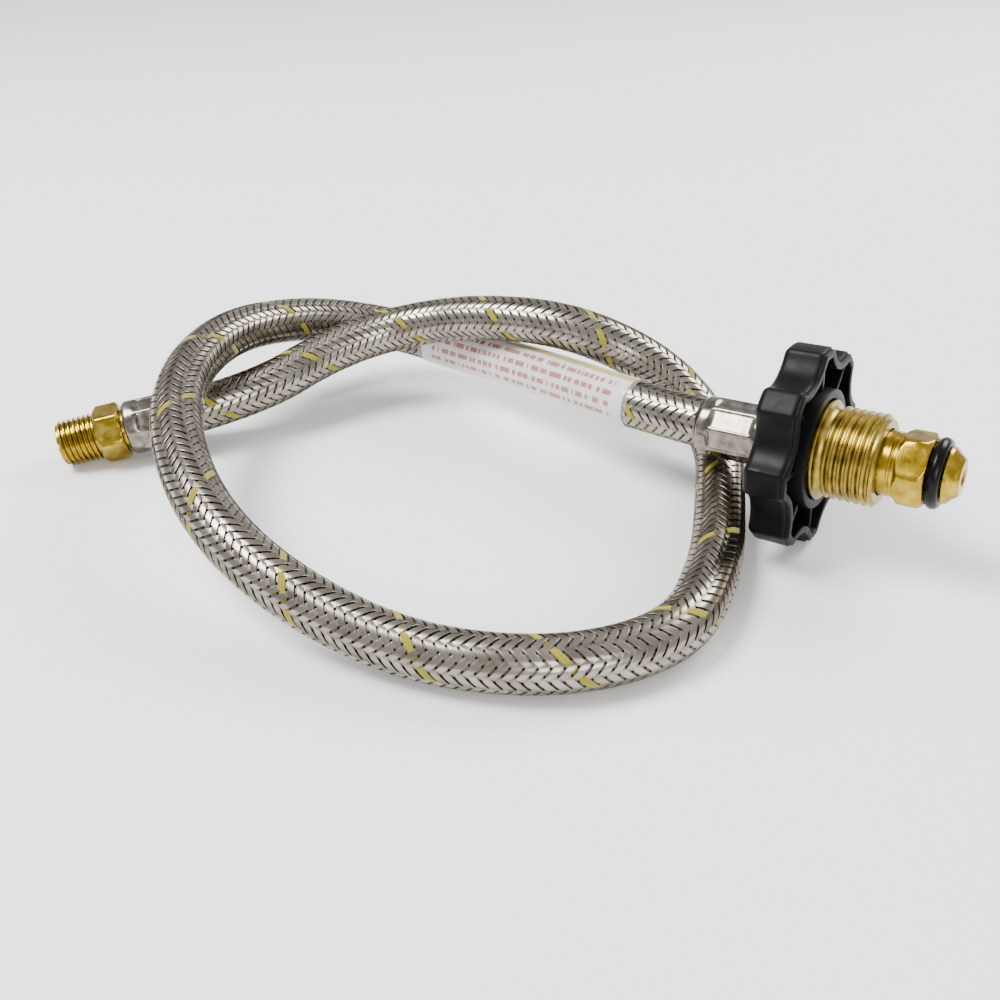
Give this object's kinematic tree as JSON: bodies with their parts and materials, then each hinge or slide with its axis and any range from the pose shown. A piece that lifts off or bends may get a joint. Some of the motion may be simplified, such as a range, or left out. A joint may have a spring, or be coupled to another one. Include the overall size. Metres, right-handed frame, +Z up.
{
  "type": "gas hose",
  "caption": "Braided steel gas hose, loosely looped, with a brass nut and nose in a black lobed hand wheel at one end and a taper-threaded brass nipple at the other.",
  "frame": {"origin": "bottom centre of the box of the inlet end: hand wheel, nut, spigot, O-ring and ferrule", "axes": "+X the way the inlet's nose points, which is tipped up by 6 degrees; +Z up"},
  "size_m": [0.2218, 0.1338, 0.0508],
  "materials": {
    "wheel_plastic": "satin moulded",
    "nut_brass": "turned, dull",
    "spigot_brass": "turned, bright",
    "ring_rubber": "smooth",
    "ferrule_steel": "pressed, bright",
    "hose_rubber": "extruded",
    "braid_steel": "braided wire",
    "label_film": "plain film",
    "sleeve_clear": "clear heat shrink",
    "nipple_brass": "turned, polished"
  },
  "bodies": {
    "hose": {"inlet_spigot": "spigot_brass", "nose_o_ring": "ring_rubber", "inlet_ferrule": "ferrule_steel", "hose_liner": "hose_rubber", "steel_braid": "braid_steel", "print_label": "label_film", "clear_sleeve": "sleeve_clear", "outlet_ferrule": "ferrule_steel", "outlet_nipple": "nipple_brass"},
    "wheel": {"hand_wheel": "wheel_plastic", "pol_nut": "nut_brass"}
  },
  "joints": [
    {"name": "wheel_spin", "type": "hinge", "parent": "hose", "child": "wheel", "pos_m": [-0.00536, 0, 0.02544], "axis": [0.9945, 0, 0.1045], "continuous": true}
  ]
}
